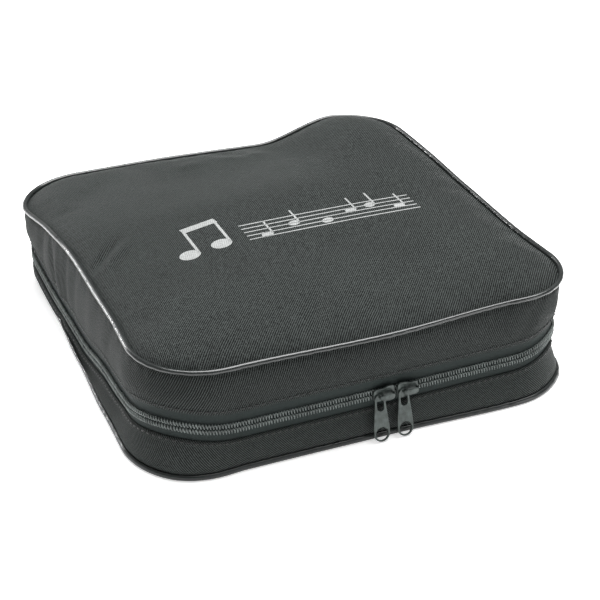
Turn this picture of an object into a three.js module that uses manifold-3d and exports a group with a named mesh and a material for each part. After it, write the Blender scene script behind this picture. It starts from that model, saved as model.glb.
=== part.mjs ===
// A zipped carrying case for a compact folding music stand: a padded, lined fabric base and a lid of
// the same build, piped along both seams, joined by a fabric hinge at the back and closed by a
// two-slider coil zip that runs round the other sides.
//
// The frame: +X to the case's right, +Y to its back, +Z up. The origin is the middle of the
// underside. All lengths are in millimetres.
//
// The walls are built from thin layers. A layer's place is its inset: how far its outer face lies
// inside the outer face of the walls. Layers that touch on the real case keep a small gap here.

import * as THREE from "three";
import { mergeVertices } from "three/addons/utils/BufferGeometryUtils.js";
import Module from "manifold-3d";

const wasm = await Module();
wasm.setup();

// ---- Driving dimensions ----

// The case.
const caseWidth = 340;
const caseDepth = 362;
const lidSeamHeight = 85;
const cornerRadius = 55;
const crownHeight = 8;
const crownRun = 24;
const hingeSetback = 2;

// Layers.
const gap = 0.3;
const fabricThickness = 1.2;
const tapeThickness = 0.8;
const foamThickness = 4;
const liningThickness = 0.8;

// Piping, and the binding tape over the seam allowances inside.
const pipingRadius = 1.75;
const bindingThickness = 1.4;
const bindingHeight = 6;

// The zip: a chain of two coils, each sewn along the edge of its own tape.
const zipHeight = 36;
const chainWidth = 8.8;
const chainSplit = 1.6;
const coilThickness = 2.3;
const tapeWidth = 16;
const tapeShownBelow = 6;
const tapeShownAbove = 7.5;
const coilSweep = THREE.MathUtils.degToRad(60);

// The sliders.
const sliderLength = 17;
const sliderWidth = 13;
const sliderTail = 10.4;
const sliderShoulder = 3;
const sliderPlate = 1.4;
const sliderClearance = 0.4;
const sliderFlange = 0.9;
const sliderPostLength = 4;
const sliderPostThickness = 1;
const sliderMiddle = 11;
const sliderApart = 2;

// The bridge on each slider, which carries its pull tab.
const bridgeSpan = 6;
const bridgeLeg = 2;
const bridgeHole = 2.6;
const bridgeBar = 1.6;
const bridgeWidth = 2.4;

// The pull tabs.
const pullLength = 37.6;
const pullThickness = 1.5;
const pullClearance = 0.6;
const pullEyeRadius = 2.2;
const pullEyeBar = 1.8;
const pullRingRadius = 6.4;
const pullRingBar = 1.5;
const pullNeck = 3.5;
const pullShoulder = 5.4;

// Half the number of flat facets in a quarter turn of the walls.
const cornerSegments = 5;

const quarter = Math.PI / 2;

// ---- Places that follow from them ----

const hingeWidth = caseWidth - 2 * cornerRadius - 2 * hingeSetback;

const tapeInset = fabricThickness + gap;
const foamInset = tapeInset + tapeThickness + gap;
const liningInset = foamInset + foamThickness + gap;
const bindingInset = liningInset + liningThickness + gap;
const panelInset = pipingRadius + gap;

const baseSeamHeight = pipingRadius + gap;
const bandFoot = baseSeamHeight + pipingRadius + gap;
const lowerBandTop = zipHeight - chainWidth / 2 - tapeShownBelow;
const upperBandFoot = zipHeight + chainWidth / 2 + tapeShownAbove;
const bandHead = lidSeamHeight - pipingRadius - gap;

const baseFoamFoot = fabricThickness + gap;
const baseLiningFoot = baseFoamFoot + foamThickness + gap;
const baseBindingFoot = baseLiningFoot + liningThickness + gap;

const lidPanelRim = lidSeamHeight - fabricThickness;
const lidFoamInset = panelInset + fabricThickness + gap;
const lidFoamFoot = lidSeamHeight - foamThickness;
const wallFoamHead = lidFoamFoot - gap;
const lidLiningFoot = lidFoamFoot - gap - liningThickness;
const wallHead = lidLiningFoot - gap;

const split = chainSplit / 2;
const chainHalf = chainWidth / 2;
const coilInset = tapeInset - gap - coilThickness;
const tapeReach = split + tapeWidth;

// ---- Helpers: solids ----

// A closed three.js geometry as a manifold-3d solid, for cutting and joining.
function solid(geometry) {
  const bare = geometry.index ? geometry.toNonIndexed() : geometry.clone();
  bare.deleteAttribute("normal");
  bare.deleteAttribute("uv");
  const merged = mergeVertices(bare, 1e-4);
  return new wasm.Manifold(
    new wasm.Mesh({
      numProp: 3,
      vertProperties: merged.attributes.position.array,
      triVerts: new Uint32Array(merged.index.array),
    }),
  );
}

// A manifold-3d solid as a three.js geometry.
function geometryOf(made) {
  const mesh = made.getMesh();
  const geometry = new THREE.BufferGeometry();
  geometry.setAttribute(
    "position",
    new THREE.BufferAttribute(mesh.vertProperties, mesh.numProp),
  );
  geometry.setIndex(new THREE.BufferAttribute(mesh.triVerts, 1));
  return geometry;
}

// A flat outline pulled straight up from one height to another.
function pulledUp(outline, foot, head) {
  return new THREE.ExtrudeGeometry(outline, {
    depth: head - foot,
    bevelEnabled: false,
    curveSegments: cornerSegments,
  }).translate(0, 0, foot);
}

// A box given by its extents along each axis.
function block(x0, x1, y0, y1, z0, z1) {
  return new THREE.BoxGeometry(x1 - x0, y1 - y0, z1 - z0).translate(
    (x0 + x1) / 2,
    (y0 + y1) / 2,
    (z0 + z1) / 2,
  );
}

// ---- Helpers: outlines of the case in plan ----

// The case's rounded rectangle, moved inwards by inset.
function plan(outline, inset) {
  const x = caseWidth / 2 - inset;
  const y = caseDepth / 2 - inset;
  const r = Math.max(cornerRadius - inset, 1);
  outline.moveTo(-x + r, -y);
  outline.lineTo(x - r, -y);
  outline.absarc(x - r, -y + r, r, -quarter, 0, false);
  outline.absarc(x - r, y - r, r, 0, quarter, false);
  outline.absarc(-x + r, y - r, r, quarter, 2 * quarter, false);
  outline.absarc(-x + r, -y + r, r, 2 * quarter, 3 * quarter, false);
  outline.closePath();
  return outline;
}

// A sheet of the case's outline.
function sheet(inset, foot, head) {
  return pulledUp(plan(new THREE.Shape(), inset), foot, head);
}

// A wall that goes all the way round.
function ringWall(inset, thickness, foot, head) {
  const outline = plan(new THREE.Shape(), inset);
  outline.holes.push(plan(new THREE.Path(), inset + thickness));
  return pulledUp(outline, foot, head);
}

// A wall that goes round the left, the front and the right. It turns by sweep into each back corner,
// and a full quarter turn takes it on to the ends of the hinge.
function openWall(inset, thickness, foot, head, sweep = quarter) {
  const y = caseDepth / 2 - inset;
  const r = cornerRadius - inset;
  const inner = r - thickness;
  const cx = caseWidth / 2 - cornerRadius;
  const cy = caseDepth / 2 - cornerRadius;
  const end = hingeWidth / 2 + gap;
  const toHinge = sweep === quarter;
  const outline = new THREE.Shape();
  if (toHinge) {
    outline.moveTo(-end, y);
  }
  outline.absarc(-cx, cy, r, 2 * quarter - sweep, 2 * quarter, false);
  outline.absarc(-cx, -cy, r, 2 * quarter, 3 * quarter, false);
  outline.absarc(cx, -cy, r, 3 * quarter, 4 * quarter, false);
  outline.absarc(cx, cy, r, 0, sweep, false);
  if (toHinge) {
    outline.lineTo(end, y);
    outline.lineTo(end, y - thickness);
  }
  outline.absarc(cx, cy, inner, sweep, 0, true);
  outline.absarc(cx, -cy, inner, 4 * quarter, 3 * quarter, true);
  outline.absarc(-cx, -cy, inner, 3 * quarter, 2 * quarter, true);
  outline.absarc(-cx, cy, inner, 2 * quarter, 2 * quarter - sweep, true);
  if (toHinge) {
    outline.lineTo(-end, y - thickness);
  }
  outline.closePath();
  return pulledUp(outline, foot, head);
}

// A coil, which stops short of the hinge so that it clears the fold.
function coilWall(foot, head) {
  return openWall(coilInset, coilThickness, foot, head, coilSweep);
}

// A flat strip on the back wall, as wide as the hinge.
function hingeStrip(inset, thickness, foot, head) {
  const back = caseDepth / 2 - inset;
  const half = hingeWidth / 2;
  return block(-half, half, back - thickness, back, foot, head);
}

// A cord of round section round the case, its middle on the walls' outer face at the given height.
function pipingRing(height) {
  const core = 0.2;
  const round = pipingRadius - core;
  const outline = plan(new THREE.Shape(), -core);
  outline.holes.push(plan(new THREE.Path(), core));
  return new THREE.ExtrudeGeometry(outline, {
    depth: 2 * core,
    bevelEnabled: true,
    bevelThickness: round,
    bevelSize: round,
    bevelSegments: 2,
    curveSegments: cornerSegments,
  }).translate(0, 0, height - core);
}

// A solid with upright sides from its rim to the lid's seam, and a crown that curves in over crownRun
// as it rises by rise.
function crowned(inset, rim, rise) {
  const skirt = lidSeamHeight - rim;
  const full = new THREE.ExtrudeGeometry(
    plan(new THREE.Shape(), inset + crownRun),
    {
      depth: skirt,
      bevelEnabled: true,
      bevelThickness: rise,
      bevelSize: crownRun,
      bevelSegments: 4,
      curveSegments: cornerSegments,
    },
  ).translate(0, 0, rim);
  const reach = caseWidth + caseDepth;
  const below = block(-reach, reach, -reach, reach, rim - reach, rim);
  return solid(full).subtract(solid(below));
}

// The lid's outer fabric: a crowned shell, open underneath.
function lidPanelGeometry() {
  const t = fabricThickness;
  const outside = crowned(panelInset, lidPanelRim, crownHeight);
  const inside = crowned(panelInset + t, lidPanelRim - t, crownHeight - t);
  return geometryOf(outside.subtract(inside));
}

// The lid's pad: as thick as the other foam at its edge, and thicker under the crown.
function lidFoamGeometry() {
  const rise = crownHeight - fabricThickness - gap;
  return geometryOf(crowned(lidFoamInset, lidFoamFoot, rise));
}

// ---- Materials ----

function material(color, roughness, metalness) {
  return new THREE.MeshStandardMaterial({ color, roughness, metalness });
}

const fabric = material(0x262828, 0.85, 0);
const tape = material(0x232726, 0.8, 0);
const nylon = material(0x1a1d1c, 0.45, 0);
const vinyl = material(0x1c2123, 0.3, 0);
const foam = material(0x3a3b3d, 0.95, 0);
const lining = material(0x1f2021, 0.8, 0);
const paintedZinc = material(0x2b3233, 0.4, 0.6);

const carryingCase = new THREE.Group();

function add(parent, name, geometry, look) {
  const mesh = new THREE.Mesh(geometry, look);
  mesh.name = name;
  parent.add(mesh);
  return mesh;
}

// ---- The base ----

const base = new THREE.Group();
carryingCase.add(base);

add(base, "base_panel", sheet(panelInset, 0, fabricThickness), fabric);
add(base, "base_piping", pipingRing(baseSeamHeight), vinyl);
add(
  base,
  "base_foam",
  sheet(foamInset, baseFoamFoot, baseFoamFoot + foamThickness),
  foam,
);
add(
  base,
  "base_lining",
  sheet(liningInset, baseLiningFoot, baseLiningFoot + liningThickness),
  lining,
);
add(
  base,
  "base_binding",
  ringWall(
    bindingInset,
    bindingThickness,
    baseBindingFoot,
    baseBindingFoot + bindingHeight,
  ),
  tape,
);
add(
  base,
  "lower_band",
  openWall(0, fabricThickness, bandFoot, lowerBandTop),
  fabric,
);
add(
  base,
  "lower_wall_foam",
  ringWall(foamInset, foamThickness, baseLiningFoot, lowerBandTop),
  foam,
);
add(
  base,
  "lower_wall_lining",
  ringWall(liningInset, liningThickness, baseBindingFoot, lowerBandTop),
  lining,
);
add(
  base,
  "hinge_panel_lower",
  hingeStrip(0, fabricThickness, bandFoot, zipHeight - split),
  fabric,
);
add(
  base,
  "hinge_lining_lower",
  hingeStrip(
    tapeInset,
    tapeThickness,
    lowerBandTop + gap,
    zipHeight - split,
  ),
  lining,
);

// ---- The lid ----

const lid = new THREE.Group();
carryingCase.add(lid);

add(lid, "lid_panel", lidPanelGeometry(), fabric);
add(lid, "lid_piping", pipingRing(lidSeamHeight), vinyl);
add(lid, "lid_foam", lidFoamGeometry(), foam);
add(
  lid,
  "lid_lining",
  sheet(liningInset, lidLiningFoot, lidLiningFoot + liningThickness),
  lining,
);
add(
  lid,
  "lid_binding",
  ringWall(bindingInset, bindingThickness, wallHead - bindingHeight, wallHead),
  tape,
);
add(
  lid,
  "upper_band",
  openWall(0, fabricThickness, upperBandFoot, bandHead),
  fabric,
);
add(
  lid,
  "upper_wall_foam",
  ringWall(foamInset, foamThickness, upperBandFoot, wallFoamHead),
  foam,
);
add(
  lid,
  "upper_wall_lining",
  ringWall(liningInset, liningThickness, upperBandFoot, wallHead),
  lining,
);
add(
  lid,
  "hinge_panel_upper",
  hingeStrip(0, fabricThickness, zipHeight + split, bandHead),
  fabric,
);
add(
  lid,
  "hinge_lining_upper",
  hingeStrip(
    tapeInset,
    tapeThickness,
    zipHeight + split,
    upperBandFoot - gap,
  ),
  lining,
);

// ---- The zip ----
// Each coil stands out from its tape, and the two keep a split between them in which the sliders'
// posts run.

add(
  base,
  "lower_zip_tape",
  openWall(tapeInset, tapeThickness, zipHeight - tapeReach, zipHeight - split),
  tape,
);
add(
  base,
  "lower_zip_coil",
  coilWall(zipHeight - chainHalf, zipHeight - split),
  nylon,
);
add(
  lid,
  "upper_zip_tape",
  openWall(tapeInset, tapeThickness, zipHeight + split, zipHeight + tapeReach),
  tape,
);
add(
  lid,
  "upper_zip_coil",
  coilWall(zipHeight + split, zipHeight + chainHalf),
  nylon,
);

// ---- The sliders ----
// Local axes: x along the zip, y to the back, z up. The origin is on the face of the front plate, so
// what stands further out has a lower y. turn is 1 for a slider whose wide end is on its right, and
// -1 on its left.

const channel = tapeInset + tapeThickness - coilInset + 2 * sliderClearance;
const sliderFace = coilInset - sliderClearance - sliderPlate;
const rearPlateAt = sliderPlate + channel;
const eyePlace = -(bridgeSpan + bridgeLeg) / 2;

// The plates' outline: narrow at the tail, then flared to a round wide end.
function plateOutline(turn) {
  const end = (turn * sliderLength) / 2;
  const shoulder = turn * sliderShoulder;
  const wide = sliderWidth / 2;
  const tail = sliderTail / 2;
  const outline = new THREE.Shape();
  outline.moveTo(-end, -tail);
  outline.bezierCurveTo(-shoulder, -tail, -shoulder, -wide, shoulder, -wide);
  outline.quadraticCurveTo(end, -wide, end, 0);
  outline.quadraticCurveTo(end, wide, shoulder, wide);
  outline.bezierCurveTo(-shoulder, wide, -shoulder, tail, -end, tail);
  outline.closePath();
  return outline;
}

// A plate that stands in the local x-z plane, filling the given distances behind the origin.
function uprightPlate(outline, near, far) {
  return new THREE.ExtrudeGeometry(outline, {
    depth: far - near,
    bevelEnabled: false,
    curveSegments: 6,
  })
    .rotateX(Math.PI / 2)
    .translate(0, far, 0);
}

// The arch along the zip that carries the pull. Its outline is drawn along x and outwards.
function bridgeOutline() {
  const inner = bridgeSpan / 2;
  const outer = inner + bridgeLeg;
  const top = bridgeHole + bridgeBar;
  const root = -sliderPlate / 2;
  const outline = new THREE.Shape();
  outline.moveTo(-outer, root);
  outline.lineTo(-outer, bridgeHole);
  outline.quadraticCurveTo(-outer, top, -inner, top);
  outline.lineTo(inner, top);
  outline.quadraticCurveTo(outer, top, outer, bridgeHole);
  outline.lineTo(outer, root);
  outline.lineTo(inner, root);
  outline.lineTo(inner, bridgeHole);
  outline.lineTo(-inner, bridgeHole);
  outline.lineTo(-inner, root);
  outline.closePath();
  return outline;
}

function bridgeGeometry() {
  return new THREE.ExtrudeGeometry(bridgeOutline(), {
    depth: bridgeWidth,
    bevelEnabled: false,
    curveSegments: 5,
  })
    .rotateX(Math.PI)
    .translate(0, 0, bridgeWidth / 2);
}

// The post that joins the two plates, in the split of the chain at the slider's wide end.
function postGeometry(turn) {
  const middle = (turn * (sliderLength - sliderPostLength)) / 2 - turn;
  return block(
    middle - sliderPostLength / 2,
    middle + sliderPostLength / 2,
    sliderPlate / 2,
    rearPlateAt + sliderPlate / 2,
    -sliderPostThickness / 2,
    sliderPostThickness / 2,
  );
}

// The front plate's lower flange, which keeps the lower coil in. There is none above, so that the
// upper coil lifts out when the lid is opened.
function flange(turn) {
  const depth = sliderPlate + sliderFlange;
  const deepPlate = solid(uprightPlate(plateOutline(turn), 0, depth));
  const band = block(
    -sliderLength,
    sliderLength,
    -depth,
    2 * depth,
    -sliderWidth,
    -chainHalf - sliderClearance,
  );
  return deepPlate.intersect(solid(band));
}

function sliderGeometry(turn) {
  const outline = plateOutline(turn);
  const front = uprightPlate(outline, 0, sliderPlate);
  const rear = uprightPlate(outline, rearPlateAt, rearPlateAt + sliderPlate);
  const plates = solid(front).add(solid(rear)).add(solid(postGeometry(turn)));
  return geometryOf(plates.add(flange(turn)).add(solid(bridgeGeometry())));
}

// ---- The pull tabs ----
// A flat tab with an eye round the bridge's left leg, widening to a ring at its foot. Local axes: the
// eye's middle is the origin, and the tab hangs down.

function pullOutline() {
  const eye = pullEyeRadius + pullEyeBar;
  const ringAt = eye + pullRingRadius - pullLength;
  const neckDrop = Math.acos(pullNeck / eye);
  const shoulderRise = Math.acos(pullShoulder / pullRingRadius);
  const shoulderAt = ringAt + pullRingRadius * Math.sin(shoulderRise);
  const outline = new THREE.Shape();
  outline.absarc(0, 0, eye, -neckDrop, Math.PI + neckDrop, false);
  outline.lineTo(-pullShoulder, shoulderAt);
  outline.absarc(
    0,
    ringAt,
    pullRingRadius,
    Math.PI - shoulderRise,
    2 * Math.PI + shoulderRise,
    false,
  );
  outline.closePath();
  const eyeHole = new THREE.Path();
  eyeHole.absarc(0, 0, pullEyeRadius, 0, 2 * Math.PI, false);
  const ringHole = new THREE.Path();
  const ringHoleRadius = pullRingRadius - pullRingBar;
  ringHole.absarc(0, ringAt, ringHoleRadius, 0, 2 * Math.PI, false);
  outline.holes.push(eyeHole, ringHole);
  return outline;
}

function pullGeometry() {
  return uprightPlate(pullOutline(), 0, pullThickness);
}

// ---- Sliders and pulls in place ----

for (const [side, turn] of [
  ["left", 1],
  ["right", -1],
]) {
  const slider = new THREE.Group();
  slider.position.set(
    sliderMiddle - (turn * (sliderLength + sliderApart)) / 2,
    -caseDepth / 2 + sliderFace,
    zipHeight,
  );
  carryingCase.add(slider);
  add(slider, "slider_" + side, sliderGeometry(turn), paintedZinc);
  const pull = add(slider, "pull_" + side, pullGeometry(), paintedZinc);
  pull.position.set(eyePlace, -pullClearance - pullThickness, 0);
}

export default carryingCase;
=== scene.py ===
# %% [markdown]
# # A padded, zipped carrying case
#
# The real case is a sewn box. Two fabric panels, the lid's and the base's, are joined to two fabric
# bands by piped seams. A coil zip closes the gap between the bands on three sides, and a fabric panel
# hinges the fourth. Nothing in it is stiff, so every edge wanders a little, and that wandering is what
# makes it look sewn.
#
# It could be made by sculpting each panel, but then each seam would have to be fitted by hand. Here one
# function says how the whole case slumps, and every piece is laid out flat and true and then passed
# through it. Pieces that are sewn together stay together, however the case slumps.

# %% The frame
import math

import bpy
import numpy as np
from mathutils import Matrix, Vector


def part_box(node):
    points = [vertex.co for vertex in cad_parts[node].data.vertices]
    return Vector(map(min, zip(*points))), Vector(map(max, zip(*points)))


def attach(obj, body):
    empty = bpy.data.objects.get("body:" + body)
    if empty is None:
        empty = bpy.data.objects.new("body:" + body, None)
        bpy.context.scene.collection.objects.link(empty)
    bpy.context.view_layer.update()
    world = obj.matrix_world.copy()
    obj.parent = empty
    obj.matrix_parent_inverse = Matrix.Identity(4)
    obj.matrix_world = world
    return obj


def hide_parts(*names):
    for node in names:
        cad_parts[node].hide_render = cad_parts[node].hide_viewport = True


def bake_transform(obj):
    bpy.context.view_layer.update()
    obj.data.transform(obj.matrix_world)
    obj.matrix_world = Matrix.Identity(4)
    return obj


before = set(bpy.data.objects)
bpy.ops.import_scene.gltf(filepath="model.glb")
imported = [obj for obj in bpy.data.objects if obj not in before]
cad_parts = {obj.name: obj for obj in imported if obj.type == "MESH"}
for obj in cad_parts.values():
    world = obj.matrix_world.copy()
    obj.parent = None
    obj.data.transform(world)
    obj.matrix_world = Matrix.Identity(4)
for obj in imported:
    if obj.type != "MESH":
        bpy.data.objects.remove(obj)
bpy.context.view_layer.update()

MM = 0.001


# %% [markdown]
# ## Where things are
#
# Sizes come from the frame: the bands give the walls, the piping gives the seams, and the coils give the
# zip. Only the corners' radius is stated, because a box can't tell it.

# %% Places read from the frame
HALF_X, HALF_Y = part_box("upper_band")[1].x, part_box("upper_band")[1].y
CORNER = 55 * MM


def middle_height(node):
    """Half way between a node's lowest and highest point."""
    low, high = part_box(node)
    return (low.z + high.z) / 2


SEAM_Z = middle_height("lid_piping")
BASE_Z = middle_height("base_piping")
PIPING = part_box("lid_piping")[1].z - SEAM_Z
ZIP_Z = (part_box("lower_zip_coil")[1].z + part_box("upper_zip_coil")[0].z) / 2
HINGE_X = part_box("hinge_panel_lower")[1].x
print("walls", round(HALF_X, 4), round(HALF_Y, 4), "seam", round(SEAM_Z, 4), "zip", round(ZIP_Z, 4))


# %% [markdown]
# ## The outline
#
# From above the case is a rounded rectangle. A point on it is found from one number, the distance walked
# along the outline from the middle of the back. A corner's centre stays still while the walk goes round
# it, and the outward direction stays still along a straight side, so both are straight-line
# interpolations between the same few places.

# %% The outline of the case
STRAIGHT_X = 2 * (HALF_X - CORNER)
STRAIGHT_Y = 2 * (HALF_Y - CORNER)
TURN = CORNER * math.pi / 2
LEGS = [STRAIGHT_X / 2, TURN, STRAIGHT_Y, TURN, STRAIGHT_X, TURN, STRAIGHT_Y, TURN, STRAIGHT_X / 2]
WALK = np.concatenate([[0.0], np.cumsum(LEGS)])
CENTRE_X = (HALF_X - CORNER) * np.array([0, -1, -1, -1, -1, 1, 1, 1, 1, 0])
CENTRE_Y = (HALF_Y - CORNER) * np.array([1, 1, 1, -1, -1, -1, -1, 1, 1, 1])
FACING = math.pi / 2 * np.array([1, 1, 2, 2, 3, 3, 4, 4, 5, 5])
AROUND = WALK[-1]


def outline(s, inset=0.0):
    """A point on the outline, and the way it faces.

    The corner's centre and the facing angle are interpolated at distance s; the point is the centre plus
    the facing direction times the corner's radius, less the inset."""
    s = np.mod(s, AROUND)
    angle = np.interp(s, WALK, FACING)
    nx, ny = np.cos(angle), np.sin(angle)
    reach = CORNER - inset
    return np.interp(s, WALK, CENTRE_X) + reach * nx, np.interp(s, WALK, CENTRE_Y) + reach * ny, nx, ny


def step(value, low, high):
    """A smooth step: 0 at low, 1 at high, and three t squared less two t cubed between them."""
    t = np.clip((value - low) / (high - low), 0, 1)
    return t * t * (3 - 2 * t)


def hill(value, middle, width):
    """A smooth hill of height 1: e to the minus of the squared distance from its middle, in widths."""
    return np.exp(-(((value - middle) / width) ** 2))


print("once round the case:", round(AROUND, 3), "m")


# %% [markdown]
# ## How the seams wander
#
# A sewn edge never runs quite true. Each of the three edges that go all the way round, the lid's seam, the
# zip and the base's seam, is given its own distance out or in at fourteen places, and runs smoothly
# between them. The zip also climbs at the front corners, where the walls are stiffest. Its front stretch
# is left true, because the sliders run along it.

# %% Fourteen places round the case, and how far each edge wanders there
BACK_LEFT, FRONT_LEFT, FRONT_RIGHT, BACK_RIGHT = (WALK[1:8:2] + WALK[2:9:2]) / 2
SIDE_PLACES = STRAIGHT_Y * np.array([0.2, 0.5, 0.8])
FRONT_PLACES = (WALK[4] + WALK[5]) / 2 + np.array([-105, 0, 105]) * MM
PLACES = np.concatenate([
    [0, BACK_LEFT], WALK[2] + SIDE_PLACES, [FRONT_LEFT], FRONT_PLACES, [FRONT_RIGHT],
    WALK[6] + SIDE_PLACES, [BACK_RIGHT, AROUND],
])

SEAM_OUT = MM * np.array([-1.5, 6.5, 0, -2.5, -2, 1.2, 0, 3.5, -2.5, 0, -5, -4, -2, -3])
ZIP_OUT = MM * np.array([0, 3, 1, 0, 1, 3, 0, 0, 0, -2, -11, -4, 0, 1])
BASE_OUT = MM * np.array([0, -2, -1, 2.5, 6, 8, 1.5, 3, 7, 4.5, -10, -5, 0, 1])
ZIP_UP = MM * np.array([0, -5, -16, -17, -5, 6.5, 0.5, 0, 0.4, 4.5, -2, 0, 0, 0])


def wander(s, table):
    """The table's value at distance s: a smooth step from each place's value to the next one's."""
    at = np.interp(np.mod(s, AROUND), PLACES, np.arange(len(PLACES)))
    before = np.floor(at).astype(int)
    share = step(at - before, 0, 1)
    count = len(table)
    return table[before % count] * (1 - share) + table[(before + 1) % count] * share


print("places round the case:", len(PLACES) - 1)


# %% [markdown]
# ## How the case slumps
#
# The foam stiffens the walls, but the lid has sunk at the back, most of all on the left. Each band swells
# between its two edges, and its fabric puckers along the piping, where the stitching has drawn it up.
# Longer folds have been pressed into the walls by handling, each with its own place, slant and depth.

# %% The sunken lid, the swollen bands and the folds
SINK = 17 * MM
ZIP_ZONE = 11 * MM
STILL_ABOVE = 79 * MM
SWELL_UPPER = 3.4 * MM
SWELL_LOWER = 2.6 * MM
TUCK = 0.9 * MM

FOLDS = np.array([
    # place, width, depth, low end, high end (mm), slant
    [232, 8, -2.2, 46, 86, 0.3],
    [262, 6, -2.8, 44, 84, -0.26],
    [280, 6, 1.8, 42, 80, -0.2],
    [296, 6, -1.9, 46, 84, 0.12],
    [318, 8, -1.6, 46, 86, 0.35],
    [368, 12, 1.4, 44, 88, 0.2],
    [412, 8, -1.6, 50, 88, 0.5],
    [452, 12, 1.1, 44, 84, -0.3],
    [268, 8, -1.4, 4, 34, 0.42],
    [330, 12, 0.9, 2, 30, -0.35],
    [428, 10, -0.9, 4, 30, 0.5],
    [497, 9, -0.8, 52, 88, 0.7],
    [540, 8, -0.7, 50, 86, -0.6],
    [612, 16, -0.6, 50, 86, 0.9],
    [690, 12, 0.5, 4, 28, -0.8],
    [742, 10, -0.7, 52, 88, 0.5],
    [776, 7, -1.3, 48, 86, 0.4],
    [806, 9, 1.7, 48, 84, -0.2],
    [830, 8, -1.4, 4, 34, 0.3],
    [905, 12, -1.2, 46, 84, -0.4],
    [985, 14, 1.0, 46, 86, 0.5],
    [1050, 10, -1.1, 44, 84, -0.3],
    [1120, 9, -1.3, 46, 84, 0.3],
    [1165, 8, 1.1, 46, 84, -0.3],
    [1220, 14, -1.4, 50, 86, 0.7],
    [52, 16, -1.6, 50, 86, -0.7],
    [110, 11, -1.5, 46, 84, 0.5],
    [150, 9, 1.6, 46, 84, -0.3],
    [185, 8, -1.4, 48, 84, 0.4],
]) * [MM, MM, MM, MM, MM, 1]


def sunk(x, y):
    """How far the lid has sunk: a smooth step towards the left times one towards the back, less a low
    hill half way along the back."""
    left = step(-x, -0.125, -0.05)
    return SINK * left * step(y, 0.02, 0.165) - 3.2 * MM * hill(x, -0.035, 0.07) * step(y, 0.1, 0.17)


def swelling(s, z):
    """How far the wall stands out: half a sine wave over each band's height, less where it is drawn tight
    at the front right corner, less a tuck at each seam, and a short pucker that fades from the seams."""
    upper = np.clip((z - ZIP_Z - ZIP_ZONE) / (SEAM_Z - ZIP_Z - ZIP_ZONE), 0, 1)
    lower = np.clip((z - BASE_Z) / (ZIP_Z - ZIP_ZONE - BASE_Z), 0, 1)
    swell = SWELL_UPPER * np.sin(math.pi * upper) + SWELL_LOWER * np.sin(math.pi * lower)
    tuck = TUCK * (hill(z, SEAM_Z - PIPING, 2 * MM) + hill(z, BASE_Z + PIPING, 2 * MM))
    give = 1 - 0.85 * hill(s, FRONT_RIGHT + 12 * MM, 42 * MM)
    pucker = np.sin(s / (1.9 * MM) + 2 * np.sin(s / (13 * MM)))
    near = hill(z, SEAM_Z - 4 * MM, 5 * MM) + 0.7 * hill(z, BASE_Z + 4 * MM, 4 * MM)
    return swell * give - tuck + 0.22 * MM * pucker * near


def folds(s, z):
    """Every fold's part at this place: its depth, times a hill across it, times half a sine along it."""
    place, width, depth, low, high, slant = FOLDS.T
    s, z = s[..., None], z[..., None]
    across = hill(s, place + slant * (z - (low + high) / 2), width)
    along = np.sin(math.pi * np.clip((z - low) / (high - low), 0, 1))
    return (depth * across * along).sum(-1)


def wall(s, inset, z):
    """A point on or in the wall, after everything that has happened to the case.

    Its distance out is the base's wander handed over to the zip's and then to the lid seam's as it goes
    up, plus the swelling and the folds. Its height is the true one, plus the zip's climb, less the sink."""
    s, inset, z = np.broadcast_arrays(s, inset, z)
    x, y, nx, ny = outline(s, inset)
    zip_share = step(z, BASE_Z, ZIP_Z - ZIP_ZONE)
    seam_share = step(z, ZIP_Z + ZIP_ZONE, STILL_ABOVE)
    below = wander(s, BASE_OUT) * (1 - zip_share) + wander(s, ZIP_OUT) * zip_share
    out = below * (1 - seam_share) + wander(s, SEAM_OUT) * seam_share + swelling(s, z) + folds(s, z)
    x, y = x + out * nx, y + out * ny
    up = wander(s, ZIP_UP) * zip_share * (1 - seam_share) - sunk(x, y) * seam_share
    return np.stack([x, y, z + up], -1)


print("folds pressed into the walls:", len(FOLDS))


# %% [markdown]
# ## Making a piece
#
# Every sewn piece is a surface on a grid: rows run round the case and columns run round the piece's
# section. One function turns such a grid into a mesh, with its own map of distances in metres, so that
# cloth can be woven along the piece. A section that is walked all the way round is closed, and its two
# ends, if it has any, are closed by pairing its outer side with its inner side.

# %% From a grid of points to a mesh
def shown(name, data):
    """A new object in the scene, for a mesh, a light or a camera."""
    made = bpy.data.objects.new(name, data)
    bpy.context.collection.objects.link(made)
    return made


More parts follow.
